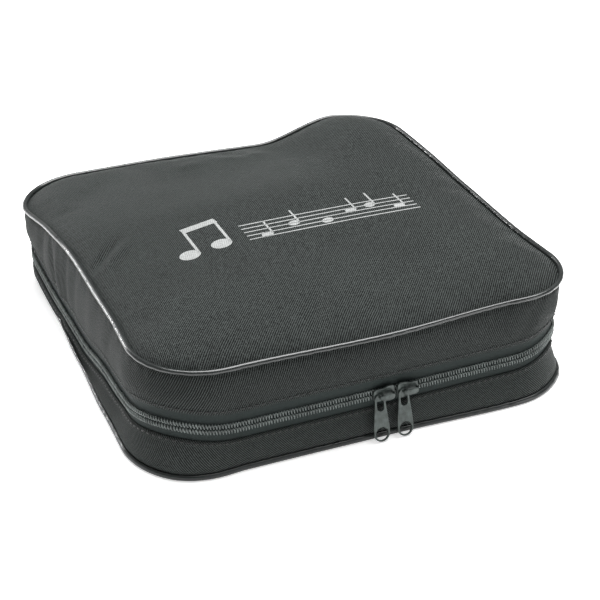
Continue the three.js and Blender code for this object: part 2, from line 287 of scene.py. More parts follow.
def make(name, points, u, v, wrap_rows=False, wrap_columns=False, caps=False):
    """One mesh from one grid of points, or from many grids of the same size.

    u and v are the distances that the rows and columns stand for, with one more value than there are
    rows or columns where the grid closes on itself. Faces are turned outwards by the sign of the volume
    that they enclose, or, for an open sheet, that they enclose with the middle of the case's floor."""
    points = np.asarray(points, float)
    points = points.reshape(-1, *points.shape[-3:])
    count, rows, columns = points.shape[:3]
    index = np.arange(count * rows * columns).reshape(count, rows, columns)
    used = index[:, : len(u) - 1, : len(v) - 1]
    quads, maps = [], []
    for i, j in ((0, 0), (1, 0), (1, 1), (0, 1)):
        moved = np.roll(index, (-i, -j), (1, 2))[:, : used.shape[1], : used.shape[2]]
        quads.append(moved.ravel())
        corner_u = np.broadcast_to(np.asarray(u)[i : i + used.shape[1], None], used.shape)
        corner_v = np.broadcast_to(np.asarray(v)[None, j : j + used.shape[2]], used.shape)
        maps.append(np.stack([corner_u.ravel(), corner_v.ravel()], -1))
    quads, maps = np.stack(quads, -1), np.stack(maps, 1)
    if caps:
        half = columns // 2
        near = np.arange(half - 1)
        pair = np.stack([near, near + 1, columns - 2 - near, columns - 1 - near], -1)
        ends = [index[:, 0][:, pair[:, ::-1]], index[:, -1][:, pair]]
        ends = np.concatenate([end.reshape(-1, 4) for end in ends])
        flat = points.reshape(-1, 3)[ends]
        quads = np.concatenate([quads, ends])
        maps = np.concatenate([maps, flat[..., [0, 2]]])
    vertices = points.reshape(-1, 3)
    a, b, c, d = (vertices[quads[:, k]] for k in range(4))
    volume = np.einsum("ij,ij->i", a, np.cross(b, c) + np.cross(c, d)).sum()
    if volume < 0:
        quads, maps = quads[:, ::-1], maps[:, ::-1]
    mesh = bpy.data.meshes.new(name)
    mesh.vertices.add(len(vertices))
    mesh.vertices.foreach_set("co", vertices.ravel())
    mesh.loops.add(quads.size)
    mesh.loops.foreach_set("vertex_index", quads.ravel())
    mesh.polygons.add(len(quads))
    mesh.polygons.foreach_set("loop_start", np.arange(0, quads.size, 4))
    mesh.update(calc_edges=True)
    mesh.uv_layers.new(name="Cloth").data.foreach_set("uv", maps.ravel())
    mesh.shade_smooth()
    mesh.validate()
    return shown(name, mesh)


def lengths(x, y):
    """Distances walked along a path of points, starting from 0."""
    return np.concatenate([[0], np.cumsum(np.hypot(np.diff(x), np.diff(y)))])


def settle(piece, body, finish, slot, *nodes):
    """Gives a finished piece its material and, where the body is a name, its body, else bakes its place
    into its mesh; hides the CAD nodes that it stands for. The slot is not used.
    """
    piece.data.materials.clear()
    piece.data.materials.append(finish)
    if isinstance(body, str):
        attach(piece, body)
    else:
        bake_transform(piece)
    if nodes:
        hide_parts(*nodes)
    print(piece.name + ":", len(piece.data.polygons), "faces")
    return piece


# %% [markdown]
# ## Finishes
#
# Nearly everything here is cloth, and cloth is read by its weave: fine diagonal ribs on the case's nylon
# twill, flat ribs across the zip's tape and the bindings, and a soft nap on the lining. The weaves are
# sums of waves over the map of distances, broken up by noise, so that no two threads are quite alike.
# The shader sums are written as ordinary arithmetic on sockets.

# %% Shader sums written as arithmetic
class Wire:
    """A shader socket, or a number from it, that can be used in sums."""

    def __init__(self, finish, socket):
        self.finish, self.socket = finish, socket

    def sum(self, operation, first, second=None):
        """One Math node."""
        inputs = {0: first} if second is None else {0: first, 1: second}
        return self.finish.node("ShaderNodeMath", 0, inputs, operation=operation)

    def __add__(self, other):
        return self.sum("ADD", self, other)

    def __radd__(self, other):
        return self.sum("ADD", other, self)

    def __sub__(self, other):
        return self.sum("SUBTRACT", self, other)

    def __mul__(self, other):
        return self.sum("MULTIPLY", self, other)

    def __rmul__(self, other):
        return self.sum("MULTIPLY", other, self)

    def __truediv__(self, other):
        return self.sum("DIVIDE", self, other)

    def wave(self):
        """A wave from -1 to 1 that repeats each time the value grows by 1."""
        return self.sum("SINE", self * (2 * math.pi))


class Finish:
    """A material while it is being wired up."""

    def __init__(self, name, **uniform):
        self.material = bpy.data.materials.new(name)
        self.material.use_nodes = True
        self.tree = self.material.node_tree
        self.tree.nodes.clear()
        self.shader = self.tree.nodes.new("ShaderNodeBsdfPrincipled")
        output = self.tree.nodes.new("ShaderNodeOutputMaterial")
        self.tree.links.new(self.shader.outputs[0], output.inputs[0])
        for key, value in uniform.items():
            self.shader.inputs[key.replace("_", " ")].default_value = value

    def node(self, kind, out, inputs=None, **settings):
        """One node, with its settings made and its inputs set or linked; gives back one output."""
        made = self.tree.nodes.new(kind)
        for key, value in settings.items():
            setattr(made, key, value)
        for key, value in (inputs or {}).items():
            if isinstance(value, Wire):
                self.tree.links.new(value.socket, made.inputs[key])
            else:
                made.inputs[key].default_value = value
        return Wire(self, made.outputs[out])

    def place(self, source):
        """The point being shaded, as its first, second and third distances in metres."""
        point = self.node("ShaderNodeTexCoord", source)
        return [self.node("ShaderNodeSeparateXYZ", axis, {0: point}) for axis in "XYZ"]

    def noise(self, source, size, detail=3.0, stretch=(1, 1, 1)):
        """Noise from 0 to 1 whose spots are about size metres across."""
        point = self.node("ShaderNodeTexCoord", source)
        scale = [value / size for value in stretch]
        spread = self.node("ShaderNodeVectorMath", 0, {0: point, 1: scale}, operation="MULTIPLY")
        return self.node("ShaderNodeTexNoise", 0, {"Vector": spread, "Scale": 1.0, "Detail": detail})

    def mix(self, share, first, second):
        """A colour between two colours."""
        return self.node("ShaderNodeMix", 2, {0: share, 6: first, 7: second}, data_type="RGBA")

    def finish(self, colour=None, roughness=None, height=None, depth=0.0, strength=1.0):
        """Links what varies into the shader; height is turned into a bump of that depth in metres."""
        if colour is not None:
            self.tree.links.new(colour.socket, self.shader.inputs["Base Color"])
        if roughness is not None:
            self.tree.links.new(roughness.socket, self.shader.inputs["Roughness"])
        if height is not None:
            inputs = {"Height": height, "Distance": depth, "Strength": strength}
            bump = self.node("ShaderNodeBump", 0, inputs)
            self.tree.links.new(bump.socket, self.shader.inputs["Normal"])
        return self.material


def shade(red, green, blue, by=1.0):
    """A screen colour, 0 to 255, as light: each part over 255, to the power 2.2, times a number."""
    return tuple(by * (part / 255) ** 2.2 for part in (red, green, blue)) + (1.0,)


def scaled_light(colour, by):
    """A colour with its light multiplied by a number: a weave's dark and light tones, and the painted light
    that makes copies of one cloth lighter.
    """
    return [part * by for part in colour[:3]] + [1]


# %% The cloths
def twill(name, source, colour, lean, rib=1.7 * MM, specks=1.3, slubs=(0.8, 1, 1), **uniform):
    """A twill: slanting ribs, crossed by fine threads, with worn and paler patches.

    A rib's height is a wave of the distance across plus a share of the distance along; the threads that
    cross it are a faster wave the other way. Slow noise fades the colour and lifts the roughness."""
    cloth = Finish(name, **uniform)
    across, along = cloth.place(source)[:2]
    wobble = cloth.noise(source, 9 * MM, 2.0) * 0.25
    ribs = ((across + along * lean) / rib + wobble).wave()
    threads = ((along - across * 0.35) / (0.62 * MM) + wobble).wave()
    fibres = cloth.noise(source, 1.6 * MM, 4.0, slubs)
    patches = cloth.noise(source, 60 * MM, 4.0)
    height = ribs * 0.5 + threads * ribs * 0.22 + fibres * 0.9
    light = 0.42 + ribs * 0.7 + ribs * threads * 0.2 + (fibres - 0.5) * specks + (patches - 0.5) * 0.4
    tone = cloth.mix(light, scaled_light(colour, 0.1), scaled_light(colour, 2.5))
    rough = 0.6 + (patches - 0.5) * 0.2 + (fibres - 0.5) * 0.25
    return cloth.finish(tone, rough, height, 0.45 * MM)


def ribbed(name, colour, rib, along, deep=0.14 * MM, **uniform):
    """A narrow woven tape: ribs straight across it, with fine threads running along it."""
    cloth = Finish(name, **uniform)
    place = cloth.place("UV")
    fibres = cloth.noise("UV", 1.1 * MM, 4.0)
    patches = cloth.noise("UV", 35 * MM, 3.0)
    ribs = (place[along] / rib + fibres * 0.4).wave()
    threads = (place[1 - along] / (0.7 * MM) + fibres * 0.3).wave()
    height = ribs * 0.5 + threads * 0.2 + fibres * 0.7
    light = 0.5 + ribs * 0.18 + (fibres - 0.5) * 0.9 + (patches - 0.5) * 0.6
    tone = cloth.mix(light, scaled_light(colour, 0.5), scaled_light(colour, 1.6))
    return cloth.finish(tone, 0.5 + (fibres - 0.5) * 0.3 + (patches - 0.5) * 0.2, height, deep)


CASE = shade(47, 50, 49)
MATT = {"Specular IOR Level": 0.11, "Sheen Weight": 0.02, "Sheen Roughness": 0.4}
# The bands and the lid are one fabric, made lighter by a twentieth on the upper band, a tenth on the lid
# and a quarter on the lower band: painted light, most of all to lift the shade the lower band stands in.
upper_cloth = twill("nylon_twill_upper", "UV", scaled_light(CASE, 1.05), 0.42, **MATT)
lower_cloth = twill("nylon_twill_lower", "UV", scaled_light(CASE, 1.25), -0.9, **MATT)
lid_cloth = twill("nylon_twill_lid", "Object", scaled_light(CASE, 1.1), -0.8, 1.9 * MM, 2.2, (1, 0.75, 1), **MATT)
base_cloth = twill("coated_base_cloth", "Object", shade(48, 50, 50), 0.5, 2.4 * MM, **MATT)
tape_cloth = ribbed("zip_tape_weave", shade(47, 53, 52), 0.9 * MM, 0, **MATT)
binding_cloth = ribbed("binding_tape_weave", shade(42, 44, 44), 1.5 * MM, 0, **MATT)
print("cloths:", ", ".join(m.name for m in bpy.data.materials if "twill" in m.name or "weave" in m.name))


# %% Lining, foam, thread, piping, zip and metal
def lining_finish():
    """A brushed knit: a soft nap with small knitted cells under it."""
    cloth = Finish("brushed_lining", Sheen_Weight=0.5, Sheen_Roughness=0.5)
    place = cloth.place("Object")
    nap = cloth.noise("Object", 2.2 * MM, 5.0)
    cells = (place[0] / (1.8 * MM)).wave() * ((place[1] + place[2]) / (1.8 * MM)).wave()
    patches = cloth.noise("Object", 45 * MM, 3.0)
    tone = cloth.mix(0.5 + (nap - 0.5) * 1.2 + (patches - 0.5) * 0.7, shade(46, 47, 50), shade(74, 75, 79))
    return cloth.finish(tone, 0.85 + (nap - 0.5) * 0.2, nap + cells * 0.12, 0.35 * MM)


def foam_finish():
    """Open foam: round pores of mixed sizes in a paler skin."""
    foam = Finish("open_cell_foam")
    point = foam.node("ShaderNodeTexCoord", "Object")
    inputs = {"Vector": point, "Scale": 900.0, "Randomness": 1.0}
    pores = foam.node("ShaderNodeTexVoronoi", 0, inputs)
    dust = foam.noise("Object", 8 * MM, 4.0)
    tone = foam.mix(pores * 1.3 + (dust - 0.5) * 0.6, shade(30, 31, 33), shade(78, 79, 82))
    return foam.finish(tone, 0.8 + (dust - 0.5) * 0.2, pores, 0.5 * MM)


def thread_finish():
    """Twisted thread: two plies that show as slanting stripes."""
    thread = Finish("bonded_thread", Sheen_Weight=0.2)
    place = thread.place("UV")
    plies = ((place[0] + place[1] * 0.8) / (0.7 * MM)).wave()
    fuzz = thread.noise("UV", 0.6 * MM, 3.0)
    # The thread is nearly black, much darker than the cloth: partly its own dark colour and partly painted
    # shade for the shadow the stitches lie in.
    tone = thread.mix(0.5 + plies * 0.35 + (fuzz - 0.5), shade(5, 5, 5), shade(22, 23, 23))
    return thread.finish(tone, 0.45 + (fuzz - 0.5) * 0.3, plies, 0.12 * MM)


def piping_finish(name, coat):
    """Piping cord wrapped in a smooth, close-woven cloth, with lighter, duller streaks rubbed along it by
    handling.
    """
    cord = Finish(name, **{"Coat Weight": coat, "Coat Roughness": 0.15, "Specular IOR Level": 0.25})
    place = cord.place("UV")
    fuzz = cord.noise("UV", 1.0 * MM, 4.0)
    rubs = cord.noise("UV", 14 * MM, 4.0, (1, 3, 1))
    weave = (place[0] / (0.8 * MM)).wave() * (place[1] / (0.8 * MM)).wave()
    light = 0.4 + weave * 0.1 + (fuzz - 0.5) * 0.5 + (rubs - 0.5) * 1.1
    tone = cord.mix(light, shade(16, 19, 18), shade(46, 51, 50))
    return cord.finish(tone, 0.3 + (rubs - 0.5) * 0.2, weave * 0.5 + fuzz, 0.002 * MM)


def nylon_finish():
    """The zip's nylon coil: smooth, with dull rubbed patches and a little dust that come and go at random.
    """
    coil = Finish("coil_nylon", Coat_Weight=0.2, Coat_Roughness=0.3)
    rubs = coil.noise("UV", 3 * MM, 4.0)
    dust = coil.noise("Object", 25 * MM, 4.0)
    tone = coil.mix(0.45 + (rubs - 0.5) * 1.4 + (dust - 0.5) * 0.7, shade(34, 38, 37), shade(140, 149, 146))
    return coil.finish(tone, 0.3 + (rubs - 0.5) * 0.3, rubs, 0.04 * MM)


def metal_finish():
    """Painted die-cast metal: satin paint with fine scratches along it and rubbed, brighter spots."""
    metal = Finish("painted_metal", Metallic=0.35, Coat_Weight=0.2, Coat_Roughness=0.3)
    scratches = metal.noise("Object", 1.6 * MM, 5.0, (6, 6, 0.6))
    spots = metal.noise("Object", 4 * MM, 5.0)
    grain = metal.noise("Object", 0.5 * MM, 2.0)
    worn = (spots - 0.45) * 1.6 + (scratches - 0.5) * 1.2
    tone = metal.mix(0.3 + worn, shade(40, 46, 44), shade(84, 93, 90))
    rough = 0.4 + (scratches - 0.5) * 0.35 + (grain - 0.5) * 0.15
    return metal.finish(tone, rough, grain * 0.6 + scratches, 0.04 * MM)


def ink_finish():
    """Screen-printed ink that lies on the cloth's ribs and has cracked a little between them."""
    ink = Finish("screen_print_ink")
    place = ink.place("Object")
    ribs = ((place[0] - place[1] * 0.5) / (1.6 * MM)).wave()
    cracks = ink.noise("Object", 1.2 * MM, 5.0)
    fade = ink.noise("Object", 30 * MM, 3.0)
    light = 0.6 + ribs * 0.25 + (cracks - 0.5) * 1.6 + (fade - 0.5) * 0.8
    tone = ink.mix(light, shade(118, 120, 119), shade(172, 174, 173))
    return ink.finish(tone, 0.6 + (cracks - 0.5) * 0.3, ribs, 0.1 * MM)


lining_cloth, foam, thread = lining_finish(), foam_finish(), thread_finish()
piping_cloth = piping_finish("lid_piping_cloth", 0.8)
base_piping_cloth = piping_finish("base_piping_cloth", 0.45)
nylon, metal, ink = nylon_finish(), metal_finish(), ink_finish()
print("finishes:", len(bpy.data.materials))


# %% [markdown]
# ## Pieces that run round the case
#
# Bands, tapes, pads and linings are all the same idea: a thin section, swept along the outline. A section
# is a flat strip with rounded edges, given as insets and heights, and the wall function does the rest.

# %% Sections and sweeps
def strip(outer, inner, low, high, rows, hem=None):
    """A flat strip's closed section: down its outer side, round its foot, up its inner side and round its
    head. A hem is (height, width, thickness): there the outer side stands out by that thickness."""
    half = (inner - outer) / 2
    turn = np.linspace(0, math.pi, 7)[1:-1]
    z = np.linspace(high - half, low + half, rows)
    face = np.full(rows, outer)
    if hem:
        height, width, thickness = hem
        face = face - thickness * step(width / 2 - np.abs(z - height), -0.4 * MM, 0.6 * MM)
    middle = outer + half
    bend = half * np.cos(turn)
    inset = np.concatenate([face, middle - bend, np.full(rows, inner), middle + bend])
    foot, head = low + half - half * np.sin(turn), high - half + half * np.sin(turn)
    return inset, np.concatenate([z, foot, z[::-1], head])


def ring(name, section, count=700):
    """A section swept all the way round the case."""
    inset, z = section
    s = np.linspace(0, AROUND, count + 1)
    v = lengths(np.append(inset, inset[0]), np.append(z, z[0]))
    return make(name, wall(s[:-1, None], inset, z), s, v, True, True)


def stretch(name, section, start, end, count=600):
    """A section swept from one place to another, with closed ends."""
    inset, z = section
    s = np.linspace(start, end, count)
    v = lengths(np.append(inset, inset[0]), np.append(z, z[0]))
    return make(name, wall(s[:, None], inset, z), s, v, False, True, True)


UNDER_PIPING = 1.2 * MM
UNDER_BAND = 0.25 * MM
TAPES_APART = 0.05 * MM


def section_of(node, rows, thickness, hem=None):
    """The strip that a ring's CAD node stands for, from its box and its thickness. A band runs on a little
    way under its piping. A tape lies close under its band, and runs on to meet the other tape."""
    low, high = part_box(node)
    outer = HALF_X - high.x
    foot = low.z - UNDER_PIPING if hem and low.z < ZIP_Z - 2 * ZIP_ZONE else low.z
    head = high.z + UNDER_PIPING if high.z > SEAM_Z - 3 * MM else high.z
    if "tape" in node:
        outer, thickness = outer - UNDER_BAND, thickness + UNDER_BAND
        foot, head = (foot, ZIP_Z - TAPES_APART) if head < ZIP_Z else (ZIP_Z + TAPES_APART, head)
    return strip(outer, outer + thickness, foot, head, rows, hem)


BAND_START = HINGE_X - 0.6 * MM
BAND_END = AROUND - BAND_START
FABRIC, FOAM, LINING, TAPE, BINDING = np.array([1.2, 4, 0.8, 0.8, 1.4]) * MM
lower_low, lower_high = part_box("lower_band")
upper_low, upper_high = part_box("upper_band")
lower_hem = (lower_high.z - 1.6 * MM, 3.6 * MM, 0.5 * MM)
upper_hem = (upper_low.z + 2.2 * MM, 4.6 * MM, 0.5 * MM)
for node, body, finish, hem, rows, count in (
    ("lower_band", "base", lower_cloth, lower_hem, 20, 600),
    ("upper_band", "lid", upper_cloth, upper_hem, 30, 760),
):
    section = section_of(node, rows, FABRIC, hem)
    settle(stretch(node + "_fabric", section, BAND_START, BAND_END, count), body, finish, "fabric", node)

# %% Wall pads, wall linings, bindings and zip tapes
for node, body in (("lower_wall_foam", "base"), ("upper_wall_foam", "lid")):
    pad = ring(node.replace("foam", "pad"), section_of(node, 12, FOAM), 420)
    settle(pad, body, foam, "foam", node)

for node, finish, slot, body, thickness in (
    ("lower_wall_lining", lining_cloth, "lining", "base", LINING),
    ("upper_wall_lining", lining_cloth, "lining", "lid", LINING),
    ("base_binding", binding_cloth, "tape", "base", BINDING),
    ("lid_binding", binding_cloth, "tape", "lid", BINDING),
):
    settle(ring(node + "_cloth", section_of(node, 12, thickness), 500), body, finish, slot, node)

TAPE_END = HINGE_X + 1 * MM
for node, body in (("lower_zip_tape", "base"), ("upper_zip_tape", "lid")):
    tape = stretch(node + "_cloth", section_of(node, 16, TAPE), TAPE_END, AROUND - TAPE_END)
    settle(tape, body, tape_cloth, "tape", node)


# %% [markdown]
# ## Piping
#
# Piping is a cord wrapped in cloth, whose edges are caught in the seam. It is a round section, swept
# round, and it pinches in a little where the stitches pull it down.

# %% The two pipings
PROUD = 0.8 * MM
PLUMP = 1.22
BASE_LIFT = 0.4 * MM


def piping(name, z):
    """A round section all the way round, its radius eased by a slow wave and a stitch-long one."""
    s = np.linspace(0, AROUND, 1201)
    turn = np.linspace(0, 2 * math.pi, 17)
    ease = PLUMP + 0.03 * np.sin(s / (17 * MM)) + 0.006 * np.sin(s / (0.8 * MM))
    radius = PIPING * ease[:-1, None]
    points = wall(s[:-1, None], -PROUD - radius * np.cos(turn[:-1]), z + radius * np.sin(turn[:-1]))
    return make(name, points, s, turn * PIPING, True, True)


settle(piping("lid_piping_cord", SEAM_Z + PROUD), "lid", piping_cloth, "piping", "lid_piping")
settle(piping("base_piping_cord", BASE_Z + BASE_LIFT), "base", base_piping_cloth, "piping", "base_piping")


# %% [markdown]
# ## The zip's coils
#
# A coil zip's teeth are one nylon wire, wound into long flat turns and sewn to each tape. Each turn has a
# bulge where it meets the other coil. The wire's path is an oval that moves along the zip, and the wire
# is a small ring carried along that path. The two coils are half a turn apart, so that they mesh.

# %% The two coils
TURN_PITCH = 2.15 * MM
WIRE = 0.4 * MM
HEADS_PAST = 0.5 * MM
HEAD_SWELL = 0.35
COIL_OUT = 0.2 * MM
COIL_DEEP = 0.8 * MM
COIL_STEPS = 13
COIL_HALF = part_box("lower_zip_coil")[1].z - middle_height("lower_zip_coil")
COIL_END = WALK[1] + math.radians(32) * CORNER


def coil(name, z, meets):
    """A wire wound along the zip; meets is 1 where it meets the other coil at its top, -1 at its foot.

    The path's height is a cosine of the turn times half the coil's height, and its depth a sine. The ring
    round it is spanned by the direction along the zip and the one away from the oval's middle. The wire
    thickens, and reaches a little further, where the turn meets the other coil."""
    turns = int((AROUND - 2 * COIL_END) / TURN_PITCH)
    t = np.arange(turns * COIL_STEPS + 1) / COIL_STEPS
    angle = 2 * math.pi * t
    round_wire = np.linspace(0, 2 * math.pi, 8)
    lift, out = np.cos(angle)[:, None], np.sin(angle)[:, None]
    thick = WIRE * (1 + HEAD_SWELL * step(meets * lift, 0.55, 1))
    away, along = thick * np.cos(round_wire[:-1]), thick * np.sin(round_wire[:-1])
    s = COIL_END + t[:, None] * TURN_PITCH + along
    depth = -COIL_OUT - (COIL_DEEP + away) * out
    height = z + (COIL_HALF - WIRE + away) * lift + HEADS_PAST * (meets + lift) / 2
    u = t * TURN_PITCH
    return make(name, wall(s, depth, height), u, round_wire * WIRE, False, True, False)


for side, body, meets in (("lower", "base", 1), ("upper", "lid", -1)):
    teeth = coil(side + "_zip_teeth", middle_height(side + "_zip_coil"), meets)
    settle(teeth, body, nylon, "coil", side + "_zip_coil")


# %% [markdown]
# ## The hinge
#
# The back of the case is one panel of the same fabric, sewn to the base below and to the lid above, and
# it bends where the zip would be. A strip of lining covers it inside. Both are made as single pieces
# from the base to the lid, unbent, and belong to neither body.

# %% The hinge panel and its lining
FOLD = (Vector((0, HALF_Y, ZIP_Z - 6 * MM)), Vector((0, HALF_Y, ZIP_Z + 6 * MM)))
lowest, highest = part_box("hinge_panel_lower")[0].z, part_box("hinge_panel_upper")[1].z
hinge_section = strip(-0.5 * MM, 0.7 * MM, lowest - UNDER_PIPING, highest + UNDER_PIPING, 70)
hinge = stretch("hinge_fabric", hinge_section, -HINGE_X, HINGE_X, 200)
settle(hinge, FOLD, upper_cloth, "fabric", "hinge_panel_lower", "hinge_panel_upper")

lowest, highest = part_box("hinge_lining_lower")[0].z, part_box("hinge_lining_upper")[1].z
liner_section = strip(1.5 * MM, 2.3 * MM, lowest, highest, 30)
hinge_liner = stretch("hinge_lining_cloth", liner_section, -HINGE_X, HINGE_X, 160)
settle(hinge_liner, FOLD, lining_cloth, "lining", "hinge_lining_lower", "hinge_lining_upper")


# %% [markdown]
# ## Stitches
#
# Each row of stitches is many short lengths of thread, lying on the cloth and diving into it at both
# ends. A stitch is a few rings of points, and a row is made all at once.

# %% Rows of stitches
STITCH = 3.5 * MM
STITCH_PITCH = 5 * MM


def stitches(name, s, z, inset, upright=False):
    """A row of stitches centred on the places s and z.

    Along a stitch its thickness is the square root of one less the squared share of the way to its end,
    and it sinks by the square of that share. Round it, half goes out from the cloth and half in."""
    share = np.linspace(-1, 1, 7)[:, None]
    turn = np.linspace(0, 2 * math.pi, 9)
    thick = 0.55 * MM * np.sqrt(1.06 - share**2)
    along = share * STITCH / 2
    across = thick * np.cos(turn[:-1]) + 0.12 * MM * share
    depth = inset - thick * 0.8 * np.sin(turn[:-1]) + 0.35 * MM * share**2
    s, z = s[:, None, None], z[:, None, None]
    along, across = np.broadcast_arrays(along, across)
    points = wall(s + across, depth, z + along) if upright else wall(s + along, depth, z + across)
    return make(name, points, np.linspace(0, STITCH, 7), turn * 0.4 * MM, False, True, True)


row = np.arange(BAND_START + 6 * MM, BAND_END - 6 * MM, STITCH_PITCH)
for side, body, start, z, inset in (
    ("upper", "lid", 0, upper_low.z + 3.8 * MM, -0.55 * MM),
    ("lower", "base", 2 * MM, lower_hem[0], -0.65 * MM),
):
    sewn = stitches(side + "_band_stitches", row + start, np.full(len(row), z), inset)
    settle(sewn, body, thread, "tape")

rise = np.arange(lower_low.z + 6 * MM, ZIP_Z - 6 * MM, STITCH_PITCH)
climb = np.arange(upper_low.z - 6 * MM, upper_high.z - 3 * MM, STITCH_PITCH)
climb = climb[climb > ZIP_Z + 8 * MM]
for name, body, z in (("hinge_stitches_lower", "base", rise), ("hinge_stitches_upper", "lid", climb)):
    sides = np.repeat([-1, 1], len(z)) * (HINGE_X - 2.5 * MM)
    settle(stitches(name, sides, np.tile(z, 2), -0.55 * MM, True), body, thread, "tape")


# %% [markdown]
# ## The lid, the base and what lies in them
#
# The lid's panel is a flat piece of cloth pulled down at its rim over a thin pad, so it rises steeply from
# the piping and then runs almost level. Its points come from a square, spread so that the square's edge
# becomes the rounded outline and its middle stays even. A pad's upper and lower sides are one loop
# across the case, so every pad is a closed form.

# %% Spreading a square over the case
RIM = 0.8 * MM
CROWN = 11 * MM
CROWN_RUN = 6 * MM
CROWN_SPREAD = 42 * MM
CREASES = np.array([
    # x, y, length, width, depth (mm), direction (degrees)
    [-152, -8, 18, 4.2, -5.0, 44],
    [-145, -15, 20, 6.0, 3.8, 44],
    [-128, -172, 14, 3.0, -4.5, 50],
    [-119, -165, 16, 5.0, 2.2, 50],
    [-40, -150, 22, 6.0, -2.8, 62],
    [-24, -152, 24, 7.0, 2.0, 70],
    [6, -158, 20, 6.0, -2.4, 84],
    [30, -156, 22, 8.0, 1.2, 95],
    [64, -162, 22, 8.0, -1.4, 110],
    [-29, 140, 16, 8.0, 1.4, 10],
    [10, 144, 12, 7.0, 1.2, -12],
    [36, 146, 12, 7.0, 1.2, 8],
    [-120, 120, 40, 12.0, -1.2, 40],
    [-60, 60, 90, 30.0, -1.0, 15],
    [110, 40, 60, 26.0, -0.9, 75],
    [60, -90, 80, 26.0, -0.7, 170],
    [140, -150, 18, 5.0, -1.2, 130],
    [146, -120, 16, 5.0, 0.9, 120],
]) * [MM, MM, MM, MM, MM, 1]


def spread(u, v, inset):
    """Where a point of the square, from -1 to 1 each way, goes on the case.

    How far out it is, f, is the larger of its two sizes, and it is carried to the outline along its side
    of the square. The point is an even stretch of the square, handed over to f times the outline's point
    as f to the sixth grows. Gives x, y, the distance round the case, f, and the way that place faces."""
    far = np.maximum(np.maximum(np.abs(u), np.abs(v)), 1e-9)
    a, b = u / far, v / far
    right = FRONT_RIGHT + (b + 1) / 2 * (BACK_RIGHT - FRONT_RIGHT)
    left = BACK_LEFT + (1 - b) / 2 * (FRONT_LEFT - BACK_LEFT)
    front = FRONT_LEFT + (a + 1) / 2 * (FRONT_RIGHT - FRONT_LEFT)
    back = BACK_RIGHT + (1 - a) / 2 * (AROUND + BACK_LEFT - BACK_RIGHT)
    s = np.select([a > 0.999999, a < -0.999999, b < 0], [right, left, front], back)
    rim_x, rim_y, nx, ny = outline(s, inset)
    share = far**6
    x = (1 - share) * u * (HALF_X - inset) + share * far * rim_x
    y = (1 - share) * v * (HALF_Y - inset) + share * far * rim_y
    return x, y, s, far, nx, ny


def depth_in(x, y):
    """How far inside the outline a point is: the corner's radius less its distance from the rectangle of
    the corners' centres, or plus its distance to that rectangle's edge when it is inside it."""
    qx, qy = np.abs(x) - (HALF_X - CORNER), np.abs(y) - (HALF_Y - CORNER)
    outside = np.hypot(np.maximum(qx, 0), np.maximum(qy, 0))
    return CORNER - outside - np.minimum(np.maximum(qx, qy), 0)


def creases(x, y):
    """Every crease's part at this place: its depth times a hill along it times a hill across it."""
    cx, cy, length, width, depth, turn = CREASES.T
    turn = np.radians(turn)
    dx, dy = x[..., None] - cx, y[..., None] - cy
    along, across = dx * np.cos(turn) + dy * np.sin(turn), dy * np.cos(turn) - dx * np.sin(turn)
    return (depth * hill(along, 0, length) * hill(across, 0, width)).sum(-1)


RELAXED = np.zeros((2, 2))


def relaxed(x, y):
    """How far the settled cloth stands above its first shape: the straight-line share between the four
    nearest places where it is known."""
    rows, columns = RELAXED.shape
    i = np.clip((x / HALF_X + 1) / 2, 0, 1) * (rows - 1)
    j = np.clip((y / HALF_Y + 1) / 2, 0, 1) * (columns - 1)
    a, b = np.minimum(i.astype(int), rows - 2), np.minimum(j.astype(int), columns - 2)
    i, j = i - a, j - b
    low = RELAXED[a, b] * (1 - j) + RELAXED[a, b + 1] * j
    high = RELAXED[a + 1, b] * (1 - j) + RELAXED[a + 1, b + 1] * j
    return low * (1 - i) + high * i


def lid_height(x, y):
    """The lid's upper face: the seam's height, a crown, its creases and what settling has done, less the
    sink. The crown is one less two parts that fade with the depth inside the outline, each as e to the
    minus of that depth over its own run: a short one beside the piping and a long one over the lid."""
    inside = np.maximum(depth_in(x, y) - RIM, 0)
    rise = 1 - 0.55 * np.exp(-inside / CROWN_RUN) - 0.45 * np.exp(-inside / CROWN_SPREAD)
    ripple = np.sin((x + y) / (2.3 * MM)) * np.sin((x - y) / (3.1 * MM))
    puckers = 0.2 * MM * ripple * hill(inside, 3 * MM, 6 * MM)
    top = SEAM_Z - 1.1 * MM + (CROWN + 1.1 * MM) * rise
    return top + (creases(x, y) + relaxed(x, y)) * rise + puckers - sunk(x, y)


def layer(name, inset, table, top, bottom, rows=90, columns=96):
    """A pad or sheet that fills the outline: each row is one loop, over its top and back underneath."""
    u = np.linspace(-1, 1, rows)[:, None]
    half = np.linspace(-1, 1, columns)
    v = np.concatenate([half, half[::-1]])[None, :]
    x, y, s, far, nx, ny = spread(u, v, inset)
    out = wander(s, table) * far**4
    under = np.arange(2 * columns) >= columns
    z = np.where(under, bottom(x, y), top(x, y))
    points = np.stack([x + out * nx, y + out * ny, z], -1)
    loop = np.append(v[0], v[0, 0]) * HALF_Y
    return make(name, points, u[:, 0] * HALF_X, loop, False, True, True)


print("lid's middle at", round(float(lid_height(np.array([0.0]), np.array([-0.05]))[0]), 4))


# %% [markdown]
# ## Letting the lid's cloth settle
#
# Cloth stretched over a pad takes up soft, uneven hollows that no formula gives. The lid is laid out as a
# sheet, held at its rim, pushed up gently by its pad and let settle for twenty steps. How far each of its
# points moved is kept, within a few millimetres, and the finished lid, its pad and its print all use it.

# %% A short cloth simulation
SETTLE_STEPS = 20
SETTLE_LIMIT = 3 * MM


